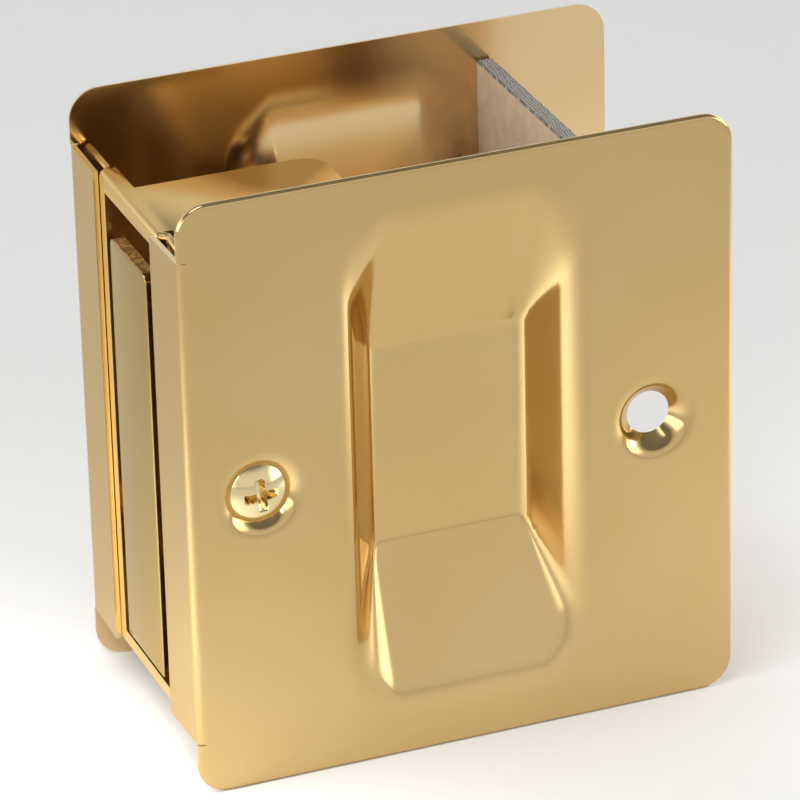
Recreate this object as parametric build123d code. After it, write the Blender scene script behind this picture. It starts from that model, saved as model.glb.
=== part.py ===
from build123d import *
from math import acos, atan, cos, degrees, radians, sin, tan
import os

# Pocket-door passage pull: two cup plates joined round the door's edge by a folded case with a
# sprung finger pull. Millimetres. +Z up, origin on the floor midway between the plates,
# -X is the door's edge side, -Y is the front.

# Plates: one stamping, used twice
plate_width = 63.5
plate_height = 69.85
plate_corner_r = 3.5
sheet = 0.6
rim_round = 0.4
door_gap = 34.2

# Drawn finger cup
cup_half_width = 15.4
cup_half_height = 31.0
cup_depth = 6.5
cup_shift = 0.4
cup_corner_r = 8.5
cup_wall_angle = 34.0
cup_floor_half = 11.8
cup_floor_r = 2.2
cup_mouth_r = 2.0

# Dimpled screw holes at mid-height
hole_spacing = 45.8
hole_shift = -0.45
hole_r = 2.5
dimple_depth = 1.95
countersink_half_angle = 41.0
dimple_blend_r = 1.2
dimple_land = 0.85

# Folded edge flange of each plate
flange_width = 8.5
flange_half_height = 28.6
fold_r = 0.9
flange_lean = 0.15
fold_relief = 0.15

# Edge case: one folded sheet in the plane of the door's edge
case_sheet = 0.7
case_half_height = 28.75
case_setback = 0.5
web_overlap = 0.1
ear_joggle = 0.85
joggle_run = 0.8
joggle_r = 0.5
front_ear_lean = 0.4
rear_ear_gap = 0.6
case_bend_r = 0.65
window_strip = 1.7
window_end_strip = 1.95

# Case legs at top and bottom
leg_strip = 2.0
leg_reach = 23.25
leg_rear_from_front = 20.2
leg_corner_r = 3.0
cup_relief = 2.0
cup_relief_margin = 2.2

# Finger pull (hinged tab)
pull_width = 11.6
pull_thick = 1.5
pull_proud = 0.2
pull_top_gap = 4.4
pull_bottom_gap = 0.6
pull_corner_r = 1.2
pull_bevel_rise = 1.2
pull_bevel_depth = 1.0
pull_ear_r = 3.0

# Hinge pin, its lugs and the rest stops
pin_r = 1.2
pin_head_r = 1.8
pin_head_thick = 0.6
pin_setback = 2.8
pin_height = 10.8
running_clearance = 0.05
lug_half_height = 3.2
anchor_reach = 4.0
stop_height = 3.0
stop_clearance = 0.05
stop_lap = 1.0

# Return spring
wire_r = 0.3
coil_r = 1.85
coil_pitch = 0.72
coil_full_turns = 5
spring_leg = 6.5
anchor_clearance = 0.08
knee_swell = 1.06

# Through screw and the posts it threads into
screw_r = 1.75
screw_head_r = 3.4
screw_dome = 1.1
screw_length = 24.0
screw_chamfer = 0.5
recess_span = 3.3
recess_width = 0.95
recess_depth = 1.5
recess_taper = 12.0
recess_turn = 6.0
post_r = 2.4
post_length = 22.0
post_dome = 0.5
post_bore_depth = 16.0
thread_clearance = 0.01

# Board between the plates
board_thick = 1.7
board_half_height = 30.6
board_clearance = 0.1
board_corner = 0.4

# Places that follow from the sizes above
mid = plate_height / 2
face_y = door_gap / 2 + sheet
edge_x = -plate_width / 2
front = Plane(origin=(0, -face_y, mid), x_dir=(1, 0, 0), z_dir=(0, -1, 0))
rear = Plane(origin=(0, face_y, mid), x_dir=(1, 0, 0), z_dir=(0, 1, 0))
hole_xs = [hole_shift - hole_spacing / 2, hole_shift + hole_spacing / 2]
web_half = face_y - flange_width - web_overlap
window_half = web_half - window_strip
window_half_height = case_half_height - window_end_strip
web_out = edge_x + case_setback
web_back = web_out + case_sheet
pull_out = web_out - pull_proud
pull_back = pull_out + pull_thick
pull_top = mid + window_half_height - pull_top_gap
pull_bottom = mid - window_half_height + pull_bottom_gap
pull_half = pull_width / 2
pin_x = pull_back + pin_setback
pin_z = pull_bottom - pull_bottom_gap + pin_height
anchor_x = pin_x + anchor_reach


def cup_form(grow):
    """Solid below the face that fills the cup: its punch (grow 0) or its die (grow one sheet).

    A tapered well gives the side walls and corners, and a long scoop gives the flat floor and
    the two straight slopes that rise to the face at top and bottom. Only the punch is flared,
    by the round of the cup's mouth."""
    out = grow / cos(radians(cup_wall_angle))
    depth = cup_depth + grow
    slope = atan(cup_depth / (cup_half_height - cup_floor_half))
    crease = cup_floor_half + grow * tan(slope / 2)
    mouth = crease + (depth + sheet) / tan(slope)
    slab = extrude(Rectangle(3 * cup_half_width, 3 * cup_half_height), -depth)
    outline = RectangleRounded(
        2 * (cup_half_width + out), 2 * (cup_half_height + sheet + out), cup_corner_r + out)
    well = extrude(outline, -depth, taper=cup_wall_angle)
    well = fillet(well.faces().sort_by(Axis.Z)[0].edges(), cup_floor_r + grow)
    if grow == 0:
        block = slab - well
        rim = block.faces().sort_by(Axis.Z)[-1].inner_wires()[0].edges()
        well = slab - fillet(rim, cup_mouth_r)
    scoop = Polygon((-mouth, sheet), (-crease, -depth), (crease, -depth), (mouth, sheet), align=None)
    return well & extrude(Plane.YZ * scoop, 2 * cup_half_width, both=True)


def dimple():
    """A countersunk dimple round one screw hole, pressed from the sheet."""
    slant = tan(radians(countersink_half_angle))
    mouth_r = hole_r + dimple_depth * slant
    inner_r = hole_r - 2 * sheet
    drop = (mouth_r - inner_r) / slant
    with BuildPart() as ring:
        with BuildSketch(Plane.XZ):
            with BuildLine():
                FilletPolyline(
                    (mouth_r + dimple_land, -sheet / 2),
                    (mouth_r + sheet / 2 * tan(radians(45 - countersink_half_angle / 2)), -sheet / 2),
                    (inner_r + sheet / 2 * cos(radians(countersink_half_angle)),
                     -drop - sheet / 2 * sin(radians(countersink_half_angle))),
                    radius=dimple_blend_r,
                )
            trace(line_width=sheet)
        revolve(axis=Axis.Z)
        Cylinder(hole_r, 4 * plate_corner_r, mode=Mode.SUBTRACT)
    return ring.part


def fold():
    """The flange along the plate's left edge, bent back and sprung outwards a little."""
    left = edge_x + sheet / 2
    with BuildPart() as bend:
        with BuildSketch(Plane.XZ):
            with BuildLine():
                FilletPolyline(
                    (edge_x + fold_r, -sheet / 2),
                    (left, -sheet / 2),
                    (left - flange_lean, -flange_width),
                    radius=fold_r - sheet / 2 - 0.01,
                )
            trace(line_width=sheet)
        extrude(amount=flange_half_height, both=True)
    return bend.part


def stamping():
    """One plate with its face on the XY plane and everything drawn and folded towards -Z."""
    slant = tan(radians(countersink_half_angle))
    dimple_r = hole_r + dimple_depth * slant + dimple_land
    body = extrude(RectangleRounded(plate_width, plate_height, plate_corner_r), -sheet)
    body = fillet(body.faces().sort_by(Axis.Z)[-1].edges(), rim_round)
    body -= [Pos(x, 0, 0) * Cylinder(dimple_r, 4 * sheet) for x in hole_xs]
    body -= Pos(edge_x, 0, 0) * Box(2 * fold_r, 2 * (flange_half_height + fold_relief), 4 * sheet)
    body += [Pos(x, 0, 0) * dimple() for x in hole_xs]
    body += fold()
    cup = Pos(cup_shift, 0, 0)
    return body + cup * cup_form(sheet) - cup * cup_form(0)


def case_wrap():
    """Web and ears of the case: one strip bent along the door's edge, seen from above."""
    web_mid = web_out + case_sheet / 2
    ear_mid = web_mid + ear_joggle
    inner = door_gap / 2
    with BuildPart() as wrap:
        with BuildSketch(Plane.XY):
            with BuildLine():
                FilletPolyline(
                    (ear_mid - front_ear_lean, -inner - case_sheet),
                    (ear_mid, -web_half - joggle_run),
                    (web_mid, -web_half),
                    (web_mid, web_half),
                    (ear_mid, web_half + joggle_run),
                    (ear_mid, inner - rear_ear_gap),
                    radius=joggle_r,
                )
            trace(line_width=case_sheet)
        extrude(amount=case_half_height, both=True)
        Box(plate_width, door_gap, plate_height, mode=Mode.INTERSECT)
    return Pos(0, 0, mid) * wrap.part


def case_leg():
    """Top leg of the case: a strip along the web and a broad tongue towards the front plate."""
    front_y = -door_gap / 2
    strip_end = web_out + leg_strip
    tongue_end = web_out + leg_reach
    rear_y = -face_y + leg_rear_from_front + sheet
    relief_x = cup_shift - cup_half_width - cup_relief_margin
    strip = Rectangle(leg_strip - case_sheet / 2, 2 * web_half, align=(Align.MIN, Align.CENTER))
    tongue = Pos(strip_end - leg_strip / 2, front_y) * Rectangle(
        tongue_end - strip_end + leg_strip / 2, rear_y - front_y, align=Align.MIN)
    corner = tongue.vertices().sort_by(lambda v: v.X + v.Y)[-1]
    tongue = fillet(corner, leg_corner_r)
    tongue -= Pos(relief_x, front_y) * Rectangle(plate_width, cup_relief, align=Align.MIN)
    tongue -= Pos(edge_x, front_y) * Rectangle(
        strip_end - edge_x, -web_half - front_y, align=Align.MIN)
    outline = Pos(web_out + case_sheet / 2, 0) * strip + tongue
    return Pos(0, 0, mid + case_half_height) * extrude(outline, -case_sheet)


def lug():
    """Front lug of the case: carries the hinge pin, and its tongue is the pull's rest stop."""
    root = web_out + case_sheet / 2
    reach = anchor_x + lug_half_height / 2 - root
    blank = Pos(root, pin_z) * RectangleRounded(
        2 * reach, 2 * lug_half_height, lug_half_height * 0.98)
    blank &= Pos(root, pin_z) * Rectangle(reach, 4 * lug_half_height, align=(Align.MIN, Align.CENTER))
    blank += Pos(root, pin_z) * Rectangle(
        pull_back + stop_clearance + case_sheet - root, lug_half_height + stop_height,
        align=Align.MIN)
    blank -= Pos(pin_x, pin_z) * Circle(pin_r)
    blank -= Pos(anchor_x, pin_z) * Circle(wire_r + anchor_clearance)
    plate = extrude(Plane.XZ.offset(window_half) * blank, case_sheet)
    tongue_y = window_half - pull_half + stop_lap
    tongue = Pos(pull_back + stop_clearance, -window_half - case_sheet / 2, pin_z + lug_half_height) * Box(
        case_sheet, tongue_y + case_sheet / 2, stop_height, align=Align.MIN)
    return plate + tongue


def edge_case():
    """Folded case: web, ears, window, two legs and the two lugs turned in from the window."""
    window = Pos(web_out, 0, mid) * Box(3 * case_sheet, 2 * window_half, 2 * window_half_height)
    leg = case_leg()
    turned_leg = leg.mirror(Plane.XY.offset(mid))
    shell = case_wrap() - window + leg + turned_leg
    bends = shell.edges().filter_by(Axis.Y).group_by(Axis.X)[0].filter_by(
        lambda e: abs(e.center().Z - mid) > window_half_height + window_end_strip / 2)
    shell = fillet(bends, case_bend_r)
    return shell + lug() + lug().mirror(Plane.XZ)


def edge_pull():
    """Finger pull: a stout tab with two ears folded back round the hinge pin."""
    side = Plane.YZ.offset(pull_out)
    centre_z = (pull_top + pull_bottom) / 2
    tab = extrude(side * (Pos(0, centre_z) * Rectangle(pull_width, pull_top - pull_bottom)), pull_thick)
    tab = fillet(tab.edges().filter_by(Axis.X).group_by(Axis.Z)[-1], pull_corner_r)
    foot = tab.edges().filter_by(Axis.Y).group_by(Axis.Z)[0].sort_by(Axis.X)[-1]
    tab = chamfer(foot, pull_bevel_rise, pull_bevel_depth, reference=tab.faces().sort_by(Axis.X)[-1])
    ear = Pos(pin_x, pin_z) * Circle(pull_ear_r)
    ear += Pos(pull_out + pull_thick / 2, pin_z) * Rectangle(
        pin_x - pull_out - pull_thick / 2, 2 * pull_ear_r, align=(Align.MIN, Align.CENTER))
    ear -= Pos(pin_x, pin_z) * Circle(pin_r + running_clearance)
    front_ear = extrude(Plane.XZ.offset(pull_half) * ear, -pull_thick)
    return tab + front_ear + front_ear.mirror(Plane.XZ)


def pull_pin():
    """Hinge pin with a riveted head outside each lug."""
    outer = window_half + case_sheet
    shank = Cylinder(pin_r, 2 * outer)
    head = Pos(0, 0, outer + pin_head_thick / 2) * Cylinder(pin_head_r, pin_head_thick)
    head = fillet(head.edges().group_by(Axis.Z)[-1], pin_head_thick / 2)
    pin = shank + head + head.mirror(Plane.XY)
    return Pos(pin_x, 0, pin_z) * Rot(90, 0, 0) * pin


def rod(start, end, radius):
    """A round bar from one point to another, with a slightly fuller ball as a knee at its start."""
    line = Line(start, end)
    bar = sweep(Plane(origin=line @ 0, z_dir=line % 0) * Circle(radius), path=line)
    return bar + Pos(*start) * Sphere(radius * knee_swell)


def return_spring():
    """Torsion spring on the pin: one leg bears on the pull's foot, one is hooked in the lug."""
    leave = degrees(acos(coil_r / anchor_reach))
    turns = coil_full_turns + (180 - leave) / 360
    height = turns * coil_pitch
    start_y = -height / 2
    seat = Plane(origin=(pin_x, start_y, pin_z), x_dir=(-1, 0, 0), z_dir=(0, 1, 0))
    helix = seat * Helix(pitch=coil_pitch, height=height, radius=coil_r)
    coil = sweep(Plane(origin=helix @ 0, z_dir=helix % 0) * Circle(wire_r), path=helix, is_frenet=True)
    bear_x = pull_back + stop_clearance + wire_r
    pull_leg = rod(tuple(helix @ 0), (bear_x, start_y, pin_z - spring_leg), wire_r)
    hook_start = (anchor_x, -start_y, pin_z)
    anchor_leg = rod(tuple(helix @ 1), hook_start, wire_r)
    hook = rod(hook_start, (anchor_x, window_half + case_sheet, pin_z), wire_r)
    return coil + pull_leg + anchor_leg + hook


def turned(shank_r, dome, tail):
    """Turned fastener with an oval head seated in a dimple of a plate whose face is at z = 0.

    tail gives (radius, distance below the head's neck) for each corner, from the shank's end on."""
    slant = tan(radians(countersink_half_angle))
    rim_z = (screw_head_r - hole_r) / slant - dimple_depth
    neck_z = rim_z - (screw_head_r - shank_r) / slant
    corners = [(screw_head_r, rim_z), (shank_r, neck_z)] + [(r, neck_z - down) for r, down in tail]
    with BuildPart() as turning:
        with BuildSketch(Plane.XZ):
            with BuildLine():
                TangentArc((0, rim_z + dome), corners[0], tangent=(1, 0))
                Polyline(*corners, (0, rim_z + dome))
            make_face()
        revolve(axis=Axis.Z)
    return turning.part, rim_z


def front_screw():
    """Oval-head machine screw with a cross recess, through the front plate into its post."""
    tail = [
        (screw_r, screw_length - screw_chamfer),
        (screw_r - screw_chamfer, screw_length),
        (0, screw_length),
    ]
    screw, rim_z = turned(screw_r, screw_dome, tail)
    cross = Rectangle(recess_span, recess_width) + Rectangle(recess_width, recess_span)
    recess = extrude(Pos(0, 0, rim_z + screw_dome) * cross, -recess_depth, taper=recess_taper)
    return front * (Pos(hole_xs[0], 0, 0) * (screw - Rot(0, 0, recess_turn) * recess))


def rear_post(x):
    """Threaded post swaged into one dimple of the rear plate, reaching towards the front."""
    bore_r = screw_r + thread_clearance
    tail = [
        (post_r, post_length),
        (bore_r, post_length),
        (bore_r, post_length - post_bore_depth),
        (0, post_length - post_bore_depth),
    ]
    return rear * (Pos(x, 0, 0) * turned(post_r, post_dome, tail)[0])


def spacer_board(plates):
    """Chipboard strip pinched between the plates, just past the cups, dented by their rims."""
    wall = radians(cup_wall_angle)
    left = cup_shift + cup_half_width + sheet / cos(wall) - sheet * tan(wall) + board_clearance
    board = Pos(left, 0, mid) * Box(
        board_thick, door_gap, 2 * board_half_height, align=(Align.MIN, Align.CENTER, Align.CENTER))
    return chamfer(board.edges().filter_by(Axis.X), board_corner) - plates


def build():
    """All pieces by node name."""
    plate = stamping()
    plates = [front * plate, rear * plate]
    return {
        "front_plate": plates[0],
        "rear_plate": plates[1],
        "edge_case": edge_case(),
        "edge_pull": edge_pull(),
        "pull_pin": pull_pin(),
        "return_spring": return_spring(),
        "front_screw": front_screw(),
        "rear_post_left": rear_post(hole_xs[0]),
        "rear_post_right": rear_post(hole_xs[1]),
        "spacer_board": spacer_board(plates),
    }


os.makedirs("parts", exist_ok=True)
for node, solid in build().items():
    export_step(solid, os.path.join("parts", node + ".step"))
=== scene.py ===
"""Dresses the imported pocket-door passage pull for its photograph.

The plates, the finger pull, the fasteners, the spring and the board are made again here as smooth
surfaces worked out with numpy, in the same places as the solids that they stand for. The case is a
copy of its solid with its edges broken. Sizes are in millimetres until a surface becomes a mesh.
+Z is up, -Y is the front and -X is the door's edge side.
"""

import logging
import math
from dataclasses import dataclass, field
from enum import Enum
from typing import Callable, Sequence

import bmesh
import bpy
import numpy as np
from mathutils import Matrix, Vector


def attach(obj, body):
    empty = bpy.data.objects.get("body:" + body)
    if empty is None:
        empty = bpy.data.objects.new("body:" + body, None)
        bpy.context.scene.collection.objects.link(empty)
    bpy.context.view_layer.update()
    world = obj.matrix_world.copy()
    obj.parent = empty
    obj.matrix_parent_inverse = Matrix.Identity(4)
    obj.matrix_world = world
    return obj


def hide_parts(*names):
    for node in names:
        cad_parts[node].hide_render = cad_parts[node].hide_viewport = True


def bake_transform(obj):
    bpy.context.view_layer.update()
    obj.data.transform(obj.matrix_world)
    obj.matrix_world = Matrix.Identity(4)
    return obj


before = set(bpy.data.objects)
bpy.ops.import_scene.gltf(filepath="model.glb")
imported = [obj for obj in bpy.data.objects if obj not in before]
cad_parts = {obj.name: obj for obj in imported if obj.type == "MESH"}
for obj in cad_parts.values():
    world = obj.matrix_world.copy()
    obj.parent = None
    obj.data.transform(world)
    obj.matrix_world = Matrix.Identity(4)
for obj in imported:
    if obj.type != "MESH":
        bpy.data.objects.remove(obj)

MM = 0.001
MERGE_MM = 0.0005
BROKEN_ANGLE = math.radians(60.0)
ROOT_BODY = "plate_set"
PULL_BODY = "edge_pull"
Colour = tuple[float, float, float]
log = logging.getLogger("passage_pull")


# Shared sizes of the set


@dataclass(frozen=True)
class SetSizes:
    """Sizes that more than one piece needs, in millimetres."""

    plate_width: float = 63.5
    plate_height: float = 69.85
    door_gap: float = 34.2
    sheet: float = 0.6
    hole_r: float = 2.5
    hole_xs: tuple[float, float] = (-23.35, 22.45)
    dimple_depth: float = 1.95
    countersink_half_angle: float = 41.0
    pin_x: float = -27.15
    pin_z: float = 18.925
    pin_r: float = 1.2

    @property
    def mid(self) -> float:
        """Height of the middle of the plates."""
        return self.plate_height / 2

    @property
    def face_y(self) -> float:
        """Distance of each plate's outer face from the middle of the door."""
        return self.door_gap / 2 + self.sheet

    @property
    def slant(self) -> float:
        """How far the countersink widens for each millimetre of depth."""
        return math.tan(math.radians(self.countersink_half_angle))


SIZES = SetSizes()


class Face(Enum):
    """The two faces of the door."""

    FRONT = -1
    REAR = 1


def seated(points: np.ndarray, x: float, face: Face) -> np.ndarray:
    """Carries points from a plate's own frame into the set's frame.

    In the plate's frame z = 0 is its outer face and +z leaves the door. The front plate is turned a
    quarter about X, and the rear one a quarter the other way, so neither is mirrored.

    Args:
        points: Array whose last axis is x, y, z in the plate's frame.
        x: Where the plate frame's origin stands along X.
        face: Which face of the door the plate lies on.

    Returns:
        The same array of points in the set's frame, in millimetres.
    """
    side = face.value
    return np.stack(
        [points[..., 0] + x, side * (SIZES.face_y + points[..., 2]), SIZES.mid - side * points[..., 1]], -1
    )


# Surfaces


def grid_quads(rows: int, cols: int, around: bool = False) -> np.ndarray:
    """Quads that join a grid of points, numbered row by row.

    Args:
        rows: Number of rows of points.
        cols: Number of points in a row.
        around: Whether each row closes on itself.

    Returns:
        Array of shape (rows - 1, cells in a row, 4) of point numbers.
    """
    row = np.arange(rows - 1)[:, None] * cols
    col = np.arange(cols if around else cols - 1)[None, :]
    after = (col + 1) % cols
    return np.stack([row + col, row + after, row + cols + after, row + cols + col], -1)


def spaced(stops: Sequence[float], step: float) -> np.ndarray:
    """Positions that hit every stop, with nearly even steps between them.

    Args:
        stops: Rising positions that have to be hit.
        step: Rough distance between neighbours.

    Returns:
        All positions, from the first stop to the last.
    """
    runs = [
        np.linspace(a, b, max(int(round((b - a) / step)), 1), endpoint=False)
        for a, b in zip(stops, stops[1:])
    ]
    return np.append(np.concatenate(runs), stops[-1])


def soft_min(a: np.ndarray, b: np.ndarray | float, reach: np.ndarray | float) -> np.ndarray:
    """The lesser of two values, with the corner between them eased over reach.

    Less than reach apart, the result is lower by (reach - |a - b|) squared over 4 times reach.
    """
    return np.minimum(a, b) - np.maximum(reach - np.abs(a - b), 0) ** 2 / (4 * reach)


def soft_max(a: np.ndarray, b: np.ndarray | float, reach: np.ndarray | float) -> np.ndarray:
    """The greater of two values, eased in the same way."""
    return -soft_min(-a, -b, reach)


@dataclass
class Surface:
    """Points and quads of a piece before they become a mesh, in millimetres."""

    points: np.ndarray
    quads: np.ndarray
    tags: np.ndarray

    @classmethod
    def from_grid(cls, grid: np.ndarray, around: bool = False) -> "Surface":
        """One grid of points, shape (rows, columns, 3), as a surface tagged 0."""
        quads = grid_quads(*grid.shape[:2], around).reshape(-1, 4)
        return cls(grid.reshape(-1, 3), quads, np.zeros(len(quads), int))

    @classmethod
    def joined(cls, parts: Sequence["Surface"]) -> "Surface":
        """Several surfaces as one.

        Args:
            parts: The surfaces, whose quads keep their order.

        Returns:
            The joined surface.
        """
        starts = np.cumsum([0] + [len(part.points) for part in parts[:-1]])
        return cls(
            np.concatenate([part.points for part in parts]),
            np.concatenate([part.quads + start for part, start in zip(parts, starts)]),
            np.concatenate([part.tags for part in parts]),
        )

    def moved(self, place: Callable[[np.ndarray], np.ndarray]) -> "Surface":
        """The same surface with its points carried elsewhere."""
        return Surface(place(self.points), self.quads, self.tags)


def sheet_solid(outer: np.ndarray, inner: np.ndarray, keep: np.ndarray) -> Surface:
    """Closes two matching grids into a sheet with sheared edges.

    Each kept cell gives a quad on both grids. Where a kept cell borders on one left out, or on the
    grid's end, a quad joins the two grids along that border.

    Args:
        outer: Points of the shown side, shape (rows, columns, 3).
        inner: Points of the other side, the same shape.
        keep: Which cells belong to the sheet, shape (rows - 1, columns - 1).

    Returns:
        The closed surface, with its sheared edges tagged 1 and its other side tagged 2.
    """
    rows, cols = outer.shape[:2]
    count = rows * cols
    cells = grid_quads(rows, cols)[keep]
    padded = np.pad(keep, 1).astype(int)
    row, col = np.nonzero(np.diff(padded[1:-1], axis=1))
    upright = np.stack([row * cols + col, (row + 1) * cols + col], -1)
    row, col = np.nonzero(np.diff(padded[:, 1:-1], axis=0))
    level = np.stack([row * cols + col, row * cols + col + 1], -1)
    border = np.concatenate([upright, level])
    sides = np.stack([border[:, 0], border[:, 1], border[:, 1] + count, border[:, 0] + count], -1)
    quads = np.concatenate([cells, cells[:, ::-1] + count, sides])
    tags = np.repeat([0, 2, 1], [len(cells), len(cells), len(sides)])
    return Surface(np.concatenate([outer.reshape(-1, 3), inner.reshape(-1, 3)]), quads, tags)


def turned_surface(
    profile: np.ndarray, around: int, ripple: Callable[[np.ndarray, np.ndarray], np.ndarray] | None = None
) -> Surface:
    """A profile carried round the z axis.

    Each profile point gives a ring: x is radius times cosine, y is radius times sine and z is its
    height. The profile starts and ends on the axis, so the surface is closed.

    Args:
        profile: Radius and height of each ring, shape (rings, 2).
        around: Number of points in a ring.
        ripple: Gives what is added to the radius at an angle and a height.

    Returns:
        The closed surface.
    """
    angle = np.linspace(0, 2 * np.pi, around, endpoint=False)[None, :]
    radius = np.repeat(profile[:, :1], around, axis=1)
    height = np.repeat(profile[:, 1:], around, axis=1)
    if ripple is not None:
        radius = radius + ripple(angle, height)
    return Surface.from_grid(np.stack([radius * np.cos(angle), radius * np.sin(angle), height], -1), True)


def make_piece(
    name: str,
    surface: Surface,
    finishes: Sequence[bpy.types.Material],
    crease_angle: float = 38.0,
    chamfer: float = 0.0,
) -> bpy.types.Object:
    """Puts a surface into a mesh object at the origin.

    Args:
        name: The piece's name.
        surface: Its points and quads in millimetres.
        finishes: Its materials, in the order of the surface's tags.
        crease_angle: Edges that turn by more than this many degrees stay crisp.
        chamfer: How far edges that turn by more than BROKEN_ANGLE are broken, in millimetres.

    Returns:
        The new object, with its faces turned outwards.
    """
    used, numbers = np.unique(surface.quads, return_inverse=True)
    mesh = bpy.data.meshes.new(name)
    mesh.from_pydata(surface.points[used] * MM, [], numbers.reshape(-1, 4))
    mesh.polygons.foreach_set("material_index", surface.tags.astype(np.int32))
    return finish_piece(name, mesh, finishes, crease_angle, chamfer)


def finish_piece(
    name: str, mesh: bpy.types.Mesh, finishes: Sequence[bpy.types.Material], crease_angle: float, chamfer: float
) -> bpy.types.Object:
    """Merges a mesh, turns its faces outwards, breaks its sharp edges and links it as an object.

    Args:
        name: The piece's name.
        mesh: Its mesh, in metres.
        finishes: Its materials, in the order of the mesh's material numbers.
        crease_angle: Edges that turn by more than this many degrees stay crisp.
        chamfer: How far edges that turn by more than BROKEN_ANGLE are broken, in millimetres.

    Returns:
        The new object.
    """
    draft = bmesh.new()
    draft.from_mesh(mesh)
    bmesh.ops.remove_doubles(draft, verts=draft.verts, dist=MERGE_MM * MM)
    bmesh.ops.recalc_face_normals(draft, faces=draft.faces)
    if chamfer:
        sharp = [edge for edge in draft.edges if edge.is_manifold and edge.calc_face_angle(0.0) > BROKEN_ANGLE]
        bmesh.ops.bevel(draft, geom=sharp, offset=chamfer * MM, segments=1, affect="EDGES", clamp_overlap=True)
    draft.to_mesh(mesh)
    draft.free()
    mesh.shade_smooth()
    mesh.set_sharp_from_angle(angle=math.radians(crease_angle))
    for finish in finishes:
        mesh.materials.append(finish)
    piece = bpy.data.objects.new(name, mesh)
    bpy.context.scene.collection.objects.link(piece)
    log.info("%s: %d faces", name, len(mesh.polygons))
    return piece


def stand_in(piece: bpy.types.Object, node: str, body: str) -> None:
    """Lets a piece ride on its body and take the place of its CAD node.

    Args:
        piece: The finished piece.
        node: The CAD node that it stands for.
        body: The body that carries it.
    """
    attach(piece, body)
    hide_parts(node)


# Shader graph


class Flow:
    """A value that flows out of a node's socket. Expressions on it add Math nodes."""

    def __init__(self, paint: "Paint", socket: bpy.types.NodeSocket) -> None:
        """Keeps the graph and the socket that the value comes from."""
        self.paint = paint
        self.socket = socket

    def __add__(self, other: "Flow | float") -> "Flow":
        """Sum."""
        return self.paint.maths("ADD", self, other)

    __radd__ = __add__

    def __sub__(self, other: "Flow | float") -> "Flow":
        """Difference."""
        return self.paint.maths("SUBTRACT", self, other)

    def __rsub__(self, other: "Flow | float") -> "Flow":
        """Difference from a number, such as 1 - mask."""
        return self.paint.maths("SUBTRACT", other, self)

    def __mul__(self, other: "Flow | float") -> "Flow":
        """Product."""
        return self.paint.maths("MULTIPLY", self, other)

    __rmul__ = __mul__

    def __truediv__(self, other: "Flow | float") -> "Flow":
        """Quotient."""
        return self.paint.maths("DIVIDE", self, other)

    def between(self, low: float, high: float) -> "Flow":
        """0 below low, 1 above high and a smooth step between them.

        Args:
            low: Value that gives 0. It may be the greater one, and then the step falls.
            high: Value that gives 1.

        Returns:
            The step.
        """
        eased = self.paint.node(
            "ShaderNodeMapRange",
            {"interpolation_type": "SMOOTHSTEP"},
            {"Value": self, "From Min": low, "From Max": high},
        )
        return Flow(self.paint, eased.outputs["Result"])


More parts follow.
